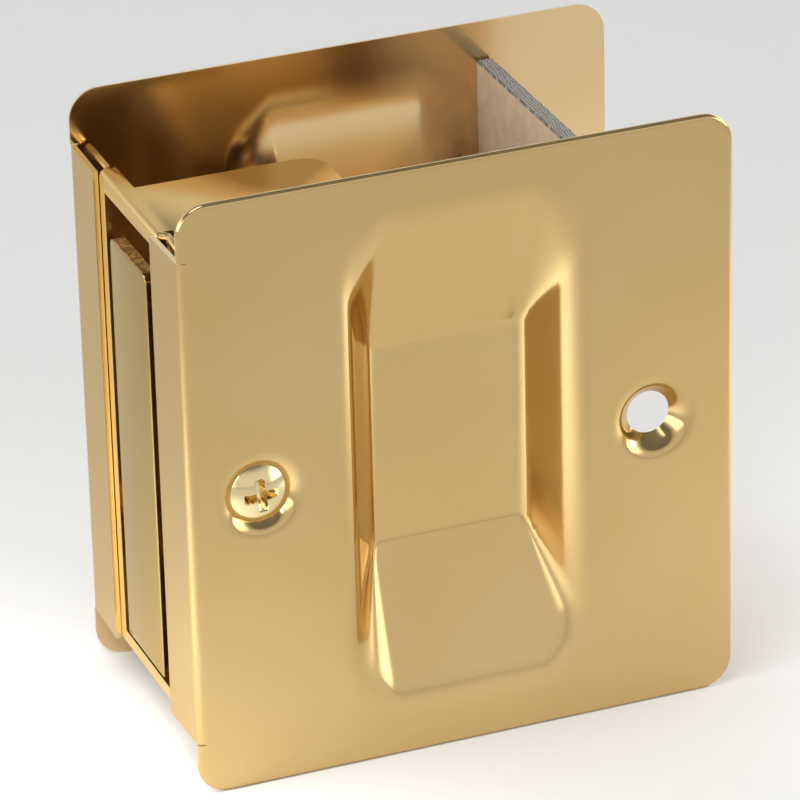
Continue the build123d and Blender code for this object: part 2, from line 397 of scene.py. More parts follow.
class Paint:
    """The node graph of one material, or of the studio's surroundings."""

    def __init__(self, owner: "bpy.types.Material | bpy.types.World") -> None:
        """Empties the owner's graph."""
        self.owner = owner
        owner.use_nodes = True
        self.tree = owner.node_tree
        self.tree.nodes.clear()

    @classmethod
    def named(cls, name: str) -> "Paint":
        """Starts a new material."""
        return cls(bpy.data.materials.new(name))

    def node(
        self, kind: str, settings: dict[str, object] | None = None, sockets: dict[str | int, object] | None = None
    ) -> bpy.types.Node:
        """Adds a node.

        Args:
            kind: The node's type.
            settings: Its own settings, which are set first. "stops" holds a ramp's (place, colour)
                pairs.
            sockets: Value or Flow of each input.

        Returns:
            The new node.
        """
        made = self.tree.nodes.new(kind)
        for name, value in (settings or {}).items():
            if name == "stops":
                ramp = made.color_ramp.elements
                while len(ramp) < len(value):
                    ramp.new(0.5)
                for stop, (place, colour) in zip(ramp, value):
                    stop.position, stop.color = place, (*colour, 1.0)
            else:
                setattr(made, name, value)
        for key, value in (sockets or {}).items():
            if isinstance(value, Flow):
                self.tree.links.new(value.socket, made.inputs[key])
            else:
                made.inputs[key].default_value = value
        return made

    def maths(self, operation: str, *values: "Flow | float") -> Flow:
        """A Math node on one, two or three values."""
        return Flow(self, self.node("ShaderNodeMath", {"operation": operation}, dict(enumerate(values))).outputs[0])

    def place(self, scale: Colour = (1.0, 1.0, 1.0)) -> Flow:
        """Object coordinates, scaled along each axis.

        Args:
            scale: Factor along X, Y and Z.

        Returns:
            The scaled coordinates.
        """
        at = Flow(self, self.node("ShaderNodeTexCoord").outputs["Object"])
        mapped = self.node("ShaderNodeMapping", None, {"Vector": at, "Scale": scale})
        return Flow(self, mapped.outputs["Vector"])

    def axes(self) -> tuple[Flow, Flow, Flow]:
        """Object coordinates as three values, in millimetres.

        Returns:
            The values along X, Y and Z.
        """
        at = self.place((1 / MM, 1 / MM, 1 / MM))
        parts = self.node("ShaderNodeSeparateXYZ", None, {"Vector": at})
        return tuple(Flow(self, out) for out in parts.outputs[:3])

    def noise(self, at: Flow, scale: float, detail: float = 2.0, roughness: float = 0.5) -> Flow:
        """Cloudy noise between 0 and 1.

        Args:
            at: Where it is read.
            scale: How many clouds there are to a unit of length.
            detail: How many finer layers are added.
            roughness: How strong each finer layer is.

        Returns:
            The noise.
        """
        cloud = self.node(
            "ShaderNodeTexNoise", None, {"Vector": at, "Scale": scale, "Detail": detail, "Roughness": roughness}
        )
        return Flow(self, cloud.outputs["Fac"])

    def mix(self, factor: Flow, low: "Colour | Flow", high: "Colour | Flow") -> Flow:
        """A colour that goes from low to high with the factor.

        Args:
            factor: Share of high.
            low: Colour at 0.
            high: Colour at 1.

        Returns:
            The colour.
        """
        ends = {key: end if isinstance(end, Flow) else (*end, 1.0) for key, end in ((6, low), (7, high))}
        mixed = self.node("ShaderNodeMix", {"data_type": "RGBA"}, {0: factor, **ends})
        return Flow(self, mixed.outputs[2])

    def bump(self, height: Flow, depth_mm: float, strength: float = 1.0, under: Flow | None = None) -> Flow:
        """A normal bent by a height between 0 and 1.

        Args:
            height: The height over the surface.
            depth_mm: How many millimetres a height of 1 stands for.
            strength: Share of the bend that shows.
            under: A normal that is bent already.

        Returns:
            The bent normal.
        """
        sockets = {"Height": height, "Distance": depth_mm * MM, "Strength": strength}
        if under is not None:
            sockets["Normal"] = under
        return Flow(self, self.node("ShaderNodeBump", None, sockets).outputs["Normal"])

    def finish(self, **sockets: object) -> bpy.types.Material:
        """Ends the graph in one Principled shader.

        Args:
            sockets: Value or Flow of each input, with underscores for the spaces in its name.

        Returns:
            The finished material.
        """
        named = {key.replace("_", " "): value for key, value in sockets.items()}
        shader = self.node("ShaderNodeBsdfPrincipled", None, named)
        out = self.node("ShaderNodeOutputMaterial")
        self.tree.links.new(shader.outputs[0], out.inputs["Surface"])
        return self.owner


# Finishes


@dataclass(frozen=True)
class BrassFinish:
    """Lacquered brass sheet, rolled and lightly brushed."""

    name: str
    pale: Colour = (0.655, 0.470, 0.220)
    deep: Colour = (0.615, 0.430, 0.180)
    grazing: Colour = (0.92, 0.85, 0.73)
    roughness: float = 0.12
    roughness_swing: float = 0.05
    brush_scale: Colour = (9000.0, 9000.0, 260.0)
    brush_depth: float = 0.0012
    ripple_depth: float = 0.02
    lacquer: float = 0.06
    lacquer_roughness: float = 0.08

    def material(self) -> bpy.types.Material:
        """Two tones drift over the sheet, brushing changes the gloss, and slow ripples bend it.

        Returns:
            The material.
        """
        paint = Paint.named(self.name)
        drift = paint.noise(paint.place(), 38.0, 2.0).between(0.3, 0.7)
        grain = paint.noise(paint.place(self.brush_scale), 1.0, 3.0, 0.6)
        ripple = paint.noise(paint.place((1.0, 1.0, 0.6)), 55.0, 1.0)
        tone = paint.mix(drift * 0.75 + grain * 0.25, self.deep, self.pale)
        roll = paint.bump(ripple, self.ripple_depth)
        return paint.finish(
            Base_Color=tone,
            Metallic=1.0,
            Roughness=self.roughness - self.roughness_swing / 2 + grain * self.roughness_swing,
            Normal=paint.bump(grain, self.brush_depth, 0.6, roll),
            Specular_Tint=(*self.grazing, 1.0),
            Coat_Weight=self.lacquer,
            Coat_Roughness=self.lacquer_roughness,
        )


@dataclass(frozen=True)
class ShearedFinish:
    """The bare edge of brass sheet where it was sheared: a burnished band and a torn, speckled one."""

    name: str
    burnished: Colour
    torn: Colour
    torn_share: float = 0.5
    grain_mm: float = 0.22
    tear_depth: float = 0.06

    def material(self) -> bpy.types.Material:
        """Fine noise splits the edge into bright burnished spots and rough dark ones.

        Returns:
            The material.
        """
        paint = Paint.named(self.name)
        speck = paint.noise(paint.place(), 1.0 / (self.grain_mm * MM), 3.0, 0.65)
        wide = paint.noise(paint.place(), 0.2 / (self.grain_mm * MM), 2.0)
        bar = 0.75 - self.torn_share * 0.5
        torn = (speck * 0.7 + wide * 0.3).between(bar - 0.04, bar + 0.04)
        return paint.finish(
            Base_Color=paint.mix(torn, self.burnished, self.torn),
            Metallic=1.0,
            Roughness=0.22 + torn * 0.3,
            Normal=paint.bump(speck, self.tear_depth, 0.7),
        )


@dataclass(frozen=True)
class SteelFinish:
    """Drawn steel, slightly dull, with lines along the drawing."""

    name: str
    pale: Colour = (0.62, 0.60, 0.57)
    dark: Colour = (0.40, 0.38, 0.36)

    def material(self) -> bpy.types.Material:
        """Noise stretched along Y gives drawn lines, and slow noise gives dull patches.

        Returns:
            The material.
        """
        paint = Paint.named(self.name)
        lines = paint.noise(paint.place((6000.0, 300.0, 6000.0)), 1.0, 3.0)
        patches = paint.noise(paint.place(), 400.0, 2.0).between(0.35, 0.7)
        return paint.finish(
            Base_Color=paint.mix(lines * 0.5 + patches * 0.5, self.dark, self.pale),
            Metallic=1.0,
            Roughness=0.25 + patches * 0.2,
            Normal=paint.bump(lines, 0.004, 0.5),
        )


@dataclass(frozen=True)
class ChipboardFinish:
    """Grey-brown chipboard: a mottled skin, and pressed layers where it is cut."""

    name: str
    top_z: float
    middle_x: float
    skin: Colour = (0.68, 0.52, 0.37)
    skin_dark: Colour = (0.58, 0.44, 0.31)
    core: Colour = (0.48, 0.45, 0.40)
    core_dark: Colour = (0.18, 0.165, 0.145)
    layer_mm: float = 0.34
    cut_band: float = 0.45

    def material(self) -> bpy.types.Material:
        """Mottling and short fibres on the skin; wavy layers on the cut top, a layer each 0.34 mm.

        Returns:
            The material.
        """
        paint = Paint.named(self.name)
        x, _, z = paint.axes()
        mottle = paint.noise(paint.place(), 420.0, 4.0, 0.6)
        fibre = paint.noise(paint.place((2600.0, 900.0, 5200.0)), 1.0, 3.0, 0.6)
        skin = paint.mix((mottle * 0.65 + fibre * 0.35).between(0.36, 0.62), self.skin_dark, self.skin)
        waver = paint.noise(paint.place((300.0, 1400.0, 300.0)), 1.0, 3.0)
        phase = (x - self.middle_x + waver * 0.5) / self.layer_mm
        layers = paint.maths("PINGPONG", phase, 0.5) * 2.0
        torn = paint.noise(paint.place(), 1700.0, 4.0, 0.7)
        core = paint.mix((layers * 0.5 + torn * 0.5).between(0.3, 0.7), self.core_dark, self.core)
        cut = (z + mottle * 0.3).between(self.top_z - self.cut_band, self.top_z - self.cut_band / 2)
        rough_height = mottle * 0.4 + fibre * 0.6
        return paint.finish(
            Base_Color=paint.mix(cut, skin, core),
            Roughness=0.88,
            Specular_IOR_Level=0.25,
            Normal=paint.bump(rough_height * (1 - cut) + torn * cut, 0.12, 0.8),
        )


@dataclass
class Finishes:
    """All finishes of the set, made once."""

    plate: bpy.types.Material = field(default_factory=lambda: BrassFinish("plate_brass").material())
    case: bpy.types.Material = field(
        default_factory=lambda: BrassFinish(
            "case_brass",
            pale=(0.86, 0.64, 0.31),
            deep=(0.80, 0.57, 0.24),
            grazing=(0.95, 0.85, 0.65),
            roughness=0.24,
            ripple_depth=0.03,
        ).material()
    )
    pull: bpy.types.Material = field(
        default_factory=lambda: BrassFinish(
            "pull_brass", pale=(0.50, 0.37, 0.155), deep=(0.45, 0.32, 0.13), grazing=(0.92, 0.84, 0.68)
        ).material()
    )
    screw: bpy.types.Material = field(
        default_factory=lambda: BrassFinish(
            "screw_brass",
            pale=(0.86, 0.73, 0.44),
            deep=(0.78, 0.60, 0.30),
            roughness=0.10,
            brush_scale=(4000.0, 4000.0, 4000.0),
        ).material()
    )
    # Painted light: the plates' inner side is the same brass with a paler base, so the shaded gap between the plates
    # reads brighter.
    inner: bpy.types.Material = field(
        default_factory=lambda: BrassFinish(
            "inner_brass_painted_light",
            pale=(0.80, 0.60, 0.34),
            deep=(0.74, 0.53, 0.27),
            roughness=0.17,
            brush_depth=0.0002,
        ).material()
    )
    sheared: bpy.types.Material = field(
        default_factory=lambda: ShearedFinish(
            "sheared_brass", burnished=(0.66, 0.44, 0.17), torn=(0.24, 0.14, 0.05)
        ).material()
    )
    trimmed: bpy.types.Material = field(
        default_factory=lambda: ShearedFinish(
            "trimmed_brass", burnished=(0.90, 0.70, 0.38), torn=(0.62, 0.43, 0.20), torn_share=0.15, tear_depth=0.01
        ).material()
    )
    steel: bpy.types.Material = field(default_factory=lambda: SteelFinish("drawn_steel").material())


# Plates


@dataclass
class PlateStamping:
    """One cup plate: face, finger cup, two dimpled holes and a flange folded along its left edge."""

    corner_r: float = 3.5
    rim_round: float = 0.4
    broken_edge: float = 0.1
    cup_half_height: float = 30.6
    cup_depth: float = 6.5
    cup_shift: float = 0.4
    cup_floor_half: float = 11.8
    floor_half_width: float = 8.8
    wall_run: float = 4.38
    mouth_corner_r: float = 10.5
    floor_round: float = 0.6
    crease_round: float = 0.22
    side_round: float = 2.0
    end_round: float = 0.9
    dimple_round: float = 0.94
    flange_width: float = 8.5
    flange_half_height: float = 28.6
    flange_lean: float = 0.15
    fold_r: float = 0.9
    fold_relief: float = 0.15
    cell: float = 0.42
    hole_block: float = 2.1
    hole_reach: float = 6.0
    fold_cells: int = 6
    flange_cells: int = 14

    def form(self, x: np.ndarray, y: np.ndarray) -> np.ndarray:
        """Depth of the drawn form below the face.

        The cup's level goes from 0 on its oblong floor to 1 at its mouth, and each level's outline is
        a rectangle whose sides and corner radius grow in step. Beside the sides the level is the
        distance out from the floor over the run of that side. Beyond a corner it solves the circle
        whose centre and radius both grow with the level, which is a quadratic, so the corners are
        cones that fan out from the floor's own. Depth is the cup's depth times 1 less the level,
        eased at the mouth: widely over the walls and little over the end slopes. Each dimple is a
        cone cut off at the face.

        Args:
            x: Places across the plate.
            y: Places along it, measured from its middle.

        Returns:
            Depth at each place, 0 on the flat face.
        """
        out_x = soft_max(np.abs(x - self.cup_shift) - self.floor_half_width, 0.0, self.floor_round)
        out_y = soft_max(np.abs(y) - self.cup_floor_half, 0.0, self.crease_round)
        end_run = self.cup_half_height - self.cup_floor_half
        side, end = out_x / self.wall_run, out_y / end_run
        centre_x, centre_y = self.wall_run - self.mouth_corner_r, end_run - self.mouth_corner_r
        grow = centre_x**2 + centre_y**2 - self.mouth_corner_r**2
        along = out_x * centre_x + out_y * centre_y
        room = along**2 - grow * (out_x**2 + out_y**2)
        corner = (along - np.sqrt(np.maximum(room, 0))) / grow
        beyond = (room > 0) & (out_x > centre_x * corner) & (out_y > centre_y * corner)
        level = np.where(beyond, corner, np.maximum(side, end))
        endwise = end**4 / np.maximum(side**4 + end**4, 1e-9)
        ease = self.side_round + (self.end_round - self.side_round) * endwise
        depth = soft_max(self.cup_depth * (1 - level), 0.0, ease)
        mouth_r = SIZES.hole_r + SIZES.dimple_depth * SIZES.slant
        for hole_x in SIZES.hole_xs:
            cone = (mouth_r - np.hypot(x - hole_x, y)) / SIZES.slant
            depth = depth + soft_max(cone, 0.0, self.dimple_round)
        return depth

    def rim(self, x: np.ndarray, y: np.ndarray, folded: np.ndarray) -> np.ndarray:
        """How far the rounded rim falls: a quarter circle within rim_round of the plate's outline.

        Args:
            x: Places across the plate.
            y: Places along it.
            folded: Where the left edge is a fold and so has no rim.

        Returns:
            The fall below the face.
        """
        x = np.where(folded, np.maximum(x, 0), np.abs(x))
        beyond_x = x - (SIZES.plate_width / 2 - self.corner_r)
        beyond_y = np.abs(y) - (SIZES.plate_height / 2 - self.corner_r)
        outside = np.hypot(np.maximum(beyond_x, 0), np.maximum(beyond_y, 0))
        inside = self.corner_r - outside - np.minimum(np.maximum(beyond_x, beyond_y), 0)
        short = np.clip(self.rim_round - inside, 0, self.rim_round)
        return self.rim_round - np.sqrt(self.rim_round**2 - short**2)

    def rows(self) -> np.ndarray:
        """Places along the plate: finer round the corners, and on each crease.

        Returns:
            Rising places, the same below the middle as above it.
        """
        straight = SIZES.plate_height / 2 - self.corner_r
        arc = straight + self.corner_r * np.sin(np.linspace(0, np.pi / 2, 13))
        stops = [
            0.0, self.hole_block, self.cup_floor_half - 0.2, self.cup_floor_half, self.cup_floor_half + 0.2,
            self.flange_half_height, self.flange_half_height + self.fold_relief, straight,
        ]  # fmt: skip
        upper = np.concatenate([spaced(stops, self.cell)[:-1], arc])
        return np.concatenate([-upper[:0:-1], upper])

    def columns(self) -> np.ndarray:
        """Places across the face, from the start of the fold to the right rim.

        Returns:
            Rising places, closer where the rim rounds off.
        """
        half = SIZES.plate_width / 2
        left, right = SIZES.hole_xs
        block = self.hole_block
        creases = [self.cup_shift + side * self.floor_half_width for side in (-1, 1)]
        stops = [-half + self.fold_r, left - block, left + block, *creases, right - block, right + block, half - 0.65]
        return np.concatenate([spaced(stops, self.cell), half - np.array([0.38, 0.2, 0.08, 0.02, 0.0])])

    def opened(self, x: np.ndarray, y: np.ndarray) -> tuple[np.ndarray, np.ndarray]:
        """Bends the square grid lines round each hole into circles.

        A point's square distance from the hole gives the radius of its ring. The ring is a circle at
        the hole and turns back into a square at hole_reach.

        Args:
            x: Places across the plate.
            y: Places along it.

        Returns:
            The bent places.
        """
        for hole_x in SIZES.hole_xs:
            dx, dy = x - hole_x, y
            square = np.maximum(np.abs(dx), np.abs(dy))
            far = np.maximum(np.hypot(dx, dy), 1e-6)
            share = np.clip((square - self.hole_block) / (self.hole_reach - self.hole_block), 0, 1)
            ring = SIZES.hole_r + share * (self.hole_reach - SIZES.hole_r)
            back = share * share * (3 - 2 * share)
            scale = np.where(square < self.hole_reach, ((1 - back) * ring + back * far) / far, 1.0)
            x, y = hole_x + dx * scale, dy * scale
        return x, y

    def surface(self) -> Surface:
        """The whole stamping in its own frame.

        Columns run from the flange's free edge round the fold, a quarter circle, and over the face.
        Rows past the flange's ends stay flat there. The other side lies one sheet below, along the
        slope of the form.

        Returns:
            The closed sheet.
        """
        half = SIZES.plate_width / 2
        sheet = SIZES.sheet
        rows, face_cols = self.rows(), self.columns()
        flap = self.fold_cells + self.flange_cells
        x = np.concatenate([np.zeros(flap), face_cols])[None, :] + np.zeros((len(rows), 1))
        y = rows[:, None] + np.zeros_like(x)
        folded = np.abs(y) <= self.flange_half_height + 1e-6
        edge_steps = self.fold_r * np.array([1.0, 0.98, 0.9, 0.75, 0.5, 0.25])
        x[:, self.flange_cells : flap] = -half + self.fold_r - edge_steps
        x[:, : self.flange_cells] = -half
        inset = np.abs(y) - (SIZES.plate_height / 2 - self.corner_r)
        inset = self.corner_r - np.sqrt(self.corner_r**2 - np.clip(inset, 0, self.corner_r) ** 2)
        x = x * (half - inset) / half
        x, y = self.opened(x, y)
        step = 0.01
        depth = self.form(x, y)
        slope_x = (self.form(x + step, y) - self.form(x - step, y)) / (2 * step)
        slope_y = (self.form(x, y + step) - self.form(x, y - step)) / (2 * step)
        normal = np.stack([slope_x, slope_y, np.ones_like(x)], -1)
        normal /= np.linalg.norm(normal, axis=-1, keepdims=True)
        outer = np.stack([x, y, -depth - self.rim(x, y, folded)], -1)
        inner = np.stack([x, y, -depth], -1) - sheet * normal

        turn = np.concatenate(
            [np.full(self.flange_cells, np.pi / 2), np.linspace(np.pi / 2, 0, self.fold_cells + 1)[:-1]]
        )
        down = np.linspace(self.flange_width - self.fold_r, 0, self.flange_cells + 1)[:-1]
        down = np.concatenate([down, np.zeros(self.fold_cells)])
        lean = self.flange_lean * down / (self.flange_width - self.fold_r)
        for grid, radius in ((outer, self.fold_r), (inner, self.fold_r - sheet)):
            bend_x = -half + self.fold_r - radius * np.sin(turn) - lean
            bend_z = -self.fold_r + radius * np.cos(turn) - down
            bend = np.stack([bend_x + 0 * y[:, :flap], y[:, :flap], bend_z + 0 * y[:, :flap]], -1)
            grid[:, :flap] = np.where(folded[:, :flap, None], bend, grid[:, :flap])

        mid_row = (rows[1:] + rows[:-1]) / 2
        mid_col = np.concatenate([np.full(flap, -half), (face_cols[1:] + face_cols[:-1]) / 2])
        keep = np.ones((len(mid_row), len(mid_col)), bool)
        for hole_x in SIZES.hole_xs:
            in_block = np.abs(mid_col - hole_x) < self.hole_block
            keep &= ~(in_block[None, :] & (np.abs(mid_row) < self.hole_block)[:, None])
        past = np.abs(mid_row) - self.flange_half_height
        keep[past > 0, : self.flange_cells] = False
        keep[(past > 0) & (past < self.fold_relief), :flap] = False
        return sheet_solid(outer, inner, keep)

    def build(self, finishes: Finishes) -> None:
        """Places the one stamping on both faces of the door.

        Args:
            finishes: The set's finishes.
        """
        surface = self.surface()
        for face, node in ((Face.FRONT, "front_plate"), (Face.REAR, "rear_plate")):
            placed = surface.moved(lambda points, face=face: seated(points, 0.0, face))
            # The inner side's finish carries painted light: a paler brass that brightens the shaded gap between the
            # plates.
            sides = [finishes.plate, finishes.trimmed, finishes.inner]
            piece = make_piece(node + "_drawn", placed, sides, chamfer=self.broken_edge)
            stand_in(piece, node, ROOT_BODY)


# Edge case with its pull


@dataclass
class EdgeCase:
    """The folded case round the door's edge: its solid's own form, with its sheared edges broken."""

    node: str = "edge_case"
    broken_edge: float = 0.12
    crease_angle: float = 30.0

    def build(self, finishes: Finishes) -> None:
        """Copies the solid's mesh, breaks its edges and gives it rolled brass.

        Args:
            finishes: The set's finishes.
        """
        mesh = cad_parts[self.node].data.copy()
        mesh.materials.clear()
        piece = finish_piece("edge_case_folded", mesh, [finishes.case], self.crease_angle, self.broken_edge)
        stand_in(piece, self.node, ROOT_BODY)


@dataclass
class FingerPull:
    """The swinging tab in the case's window, with two ears round the pin."""

    out_x: float = -31.45
    thick: float = 1.5
    half_width: float = 5.8
    bottom_z: float = 8.725
    top_z: float = 57.325
    corner_r: float = 1.2
    bevel_rise: float = 1.2
    bevel_depth: float = 1.0
    edge_round: float = 0.16
    corner_share: float = 0.96
    ear_r: float = 3.0
    ear_thick: float = 1.5
    pin_clearance: float = 0.05
    side_cells: int = 10
    corner_cells: int = 5

    def tab(self) -> Surface:
        """A rounded strip: a thin rectangle with eased corners carried up the tab.

        At each height the rectangle's half width follows the top corners' quarter circle and its
        back is cut away by the bevel at the foot. corner_share of the circle is taken, so that the
        topmost ring keeps its eased corners. The last rings at both ends shrink by the edge's own
        round and then close.

        Returns:
            The closed surface.
        """
        ease = self.edge_round
        lift = ease * (1 - np.cos(np.linspace(0, np.pi / 2, 5)))
        lower = self.bottom_z + lift
        body = spaced([self.bottom_z + ease, self.bottom_z + self.bevel_rise, self.top_z - self.corner_r], 2.0)
        arc = self.top_z - self.corner_r + (self.corner_r - ease) * np.sin(np.linspace(0, np.pi / 2, 9))
        upper = self.top_z - lift[::-1]
        z = np.concatenate([lower[:-1], body[:-1], arc[:-1], upper])[:, None]
        shrink = np.zeros_like(z)
        fall = ease * (1 - np.sin(np.linspace(0, np.pi / 2, 5)))
        shrink[:5, 0] = fall
        shrink[-5:, 0] = fall[::-1]
        into_corner = np.clip(z - (self.top_z - self.corner_r), 0, self.corner_r)
        half = self.half_width - shrink
        half = half - (self.corner_r - np.sqrt(self.corner_r**2 - into_corner**2)) * self.corner_share
        into_bevel = np.clip(1 - (z - self.bottom_z) / self.bevel_rise, 0, 1)
        front = self.out_x + shrink
        back = self.out_x + self.thick - shrink - self.bevel_depth * into_bevel

        turn = np.linspace(0, np.pi / 2, self.corner_cells)
        sweep = np.concatenate([turn + quarter * np.pi / 2 for quarter in range(4)])[None, :]
        sign_x = np.repeat([1, -1, -1, 1], self.corner_cells)[None, :]
        sign_y = np.repeat([1, 1, -1, -1], self.corner_cells)[None, :]
        centre, reach = (front + back) / 2, (back - front) / 2
        x = centre + sign_x * (reach - ease) + ease * np.cos(sweep)
        y = sign_y * (half - ease) + ease * np.sin(sweep)
        rings = np.stack([x, y, z + np.zeros_like(x)], -1)
        ends = [np.stack([centre[i] + 0 * x[i], y[i] * 0.0, z[i] + 0 * x[i]], -1)[None] for i in (0, -1)]
        grid = np.concatenate([ends[0], rings, ends[1]])
        surface = Surface.from_grid(grid, True)
        cells = grid.shape[1]
        surface.tags[-3 * cells :] = 1
        surface.tags[: 2 * cells] = 1
        return surface

    def ear(self, side: int) -> Surface:
        """One ear: a ring round the pin whose outline runs forward to the tab.

        Seen from the side the outer radius is the ear's round behind the pin. In front of it the
        outline is a rectangle: the lesser of its half height over the sine and its length over the
        cosine of the angle.

        Args:
            side: 1 or -1 along Y.

        Returns:
            The closed surface.
        """
        angle = np.linspace(0, 2 * np.pi, 72, endpoint=False)
        reach = SIZES.pin_x - self.out_x - self.thick / 2
        run = np.minimum(
            self.ear_r / np.maximum(np.abs(np.sin(angle)), 1e-6), reach / np.maximum(np.abs(np.cos(angle)), 1e-6)
        )
        outer = np.where(np.cos(angle) < 0, run, self.ear_r)
        hole = SIZES.pin_r + self.pin_clearance
        outside = side * self.half_width
        inside = side * (self.half_width - self.ear_thick)
        ease = self.edge_round * 0.6
        loops = [
            (hole, inside), (outer - ease, inside), (outer, inside + side * ease),
            (outer, outside - side * ease), (outer - ease, outside), (hole, outside), (hole, inside),
        ]  # fmt: skip
        rings = [
            np.stack(
                [SIZES.pin_x + r * np.cos(angle), np.full_like(angle, y), SIZES.pin_z + r * np.sin(angle)], -1
            )
            for r, y in loops
        ]
        return Surface.from_grid(np.stack(rings), True)

    def build(self, finishes: Finishes) -> None:
        """Makes the pull and hangs it on its hinge.

        Args:
            finishes: The set's finishes.
        """
        surface = Surface.joined([self.tab(), self.ear(1), self.ear(-1)])
        piece = make_piece("edge_pull_tab", surface, [finishes.pull, finishes.sheared])
        stand_in(piece, "edge_pull", PULL_BODY)


@dataclass
class PullPin:
    """The hinge pin with a riveted head outside each lug."""

    half_length: float = 8.1
    head_r: float = 1.8
    head_thick: float = 0.6

    def build(self, finishes: Finishes) -> None:
        """Turns the pin: half its profile is mirrored, and each head is a flattened dome.

        Args:
            finishes: The set's finishes.
        """
        arc = np.linspace(0, np.pi / 2, 8)
        dome = np.stack(
            [self.head_r * np.sin(arc), self.half_length + self.head_thick * (0.35 + 0.65 * np.cos(arc))], -1
        )
        foot = np.array([[self.head_r, self.half_length], [SIZES.pin_r, self.half_length]])
        half = np.concatenate([dome, foot])
        profile = np.concatenate([half, half[::-1] * [1, -1]])
        surface = turned_surface(profile, 48).moved(
            lambda points: np.stack([SIZES.pin_x + points[..., 0], points[..., 2], SIZES.pin_z + points[..., 1]], -1)
        )
        piece = make_piece("pull_pin_riveted", surface, [finishes.steel])
        stand_in(piece, "pull_pin", ROOT_BODY)


@dataclass
class ReturnSpring:
    """Torsion spring: a foot that bears on the pull, the coil, and an arm hooked in the lug."""

    wire_r: float = 0.3
    coil_r: float = 1.85
    pitch: float = 0.72
    full_turns: int = 5
    foot_length: float = 6.5
    anchor_reach: float = 4.0
    bear_x: float = -29.6
    hook_y: float = 8.1
    hook_bend: float = 0.5
    wire_sides: int = 16

    def path(self) -> tuple[np.ndarray, np.ndarray]:
        """Centre line and side direction of the wire.

        The coil starts on the pull's side of the pin and climbs along Y by one pitch a turn. The
        foot goes straight down from its start. The arm leaves its end along the tangent that meets
        the anchor, and the hook runs along Y.

        Returns:
            Points along the wire, and a unit vector across it at each.
        """
        leave = math.acos(self.coil_r / self.anchor_reach)
        sweep = 2 * np.pi * self.full_turns + np.pi - leave
        rise = sweep / (2 * np.pi) * self.pitch
        phi = np.linspace(0, sweep, 240)
        coil = np.stack(
            [
                SIZES.pin_x - self.coil_r * np.cos(phi),
                -rise / 2 + self.pitch * phi / (2 * np.pi),
                SIZES.pin_z + self.coil_r * np.sin(phi),
            ],
            -1,
        )
        share = np.linspace(0, 1, 12)[:-1, None]
        tip = np.array([self.bear_x, -rise / 2, SIZES.pin_z - self.foot_length])
        foot = tip + share * (coil[0] - tip)
        anchor = np.array([SIZES.pin_x + self.anchor_reach, rise / 2, SIZES.pin_z])
        bend = self.hook_bend
        arm_way = (anchor - coil[-1]) / np.linalg.norm(anchor - coil[-1])
        arm = coil[-1] + share[1:] * (anchor - bend * arm_way - coil[-1])
        turn = np.linspace(0, np.pi / 2, 8)[:, None]
        along_y = np.array([0.0, 1.0, 0.0])
        knee = anchor - bend * arm_way * (1 - np.sin(turn)) + bend * along_y * (1 - np.cos(turn))
        hook = np.linspace(anchor + 1.2 * bend * along_y, [anchor[0], self.hook_y, anchor[2]], 6)
        line = np.concatenate([foot, coil, arm, knee, hook])
        way = np.gradient(line, axis=0)
        side = np.cross(way, along_y)
        side[-len(hook) - 3 :] = side[-len(hook) - 4]
        return line, side / np.linalg.norm(side, axis=1, keepdims=True)

    def build(self, finishes: Finishes) -> None:
        """Carries a circle of wire along the path and closes both ends.

        Args:
            finishes: The set's finishes.
        """
        line, side = self.path()
        way = np.gradient(line, axis=0)
        way /= np.linalg.norm(way, axis=1, keepdims=True)
        up = np.cross(way, side)
        angle = np.linspace(0, 2 * np.pi, self.wire_sides, endpoint=False)[None, :, None]
        rings = line[:, None] + self.wire_r * (np.cos(angle) * side[:, None] + np.sin(angle) * up[:, None])
        ends = [np.repeat(line[i][None, None], self.wire_sides, axis=1) for i in (0, -1)]
        surface = Surface.from_grid(np.concatenate([ends[0], rings, ends[1]]), True)
        piece = make_piece("return_spring_wire", surface, [finishes.steel])
        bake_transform(piece)
        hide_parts("return_spring")


# Fasteners


@dataclass
class Thread:
    """A vee thread cut into a shank."""

    start: float
    end: float
    pitch: float = 0.7
    depth: float = 0.28

    def ripple(self, angle: np.ndarray, height: np.ndarray) -> np.ndarray:
        """How far the thread goes below the shank.

        The vee is the distance of height / pitch - angle / turn from the nearest whole number, so it
        climbs one pitch a turn. It fades out over one pitch at both ends.

        Args:
            angle: Angle round the shank.
            height: Place along it.

        Returns:
            What is added to the radius, 0 or less.
        """
        phase = height / self.pitch - angle / (2 * np.pi)
        vee = 2 * np.abs(phase - np.round(phase))
        inside = np.clip((height - self.start) / self.pitch, 0, 1) * np.clip((self.end - height) / self.pitch, 0, 1)
        return -self.depth * (1 - vee) * inside


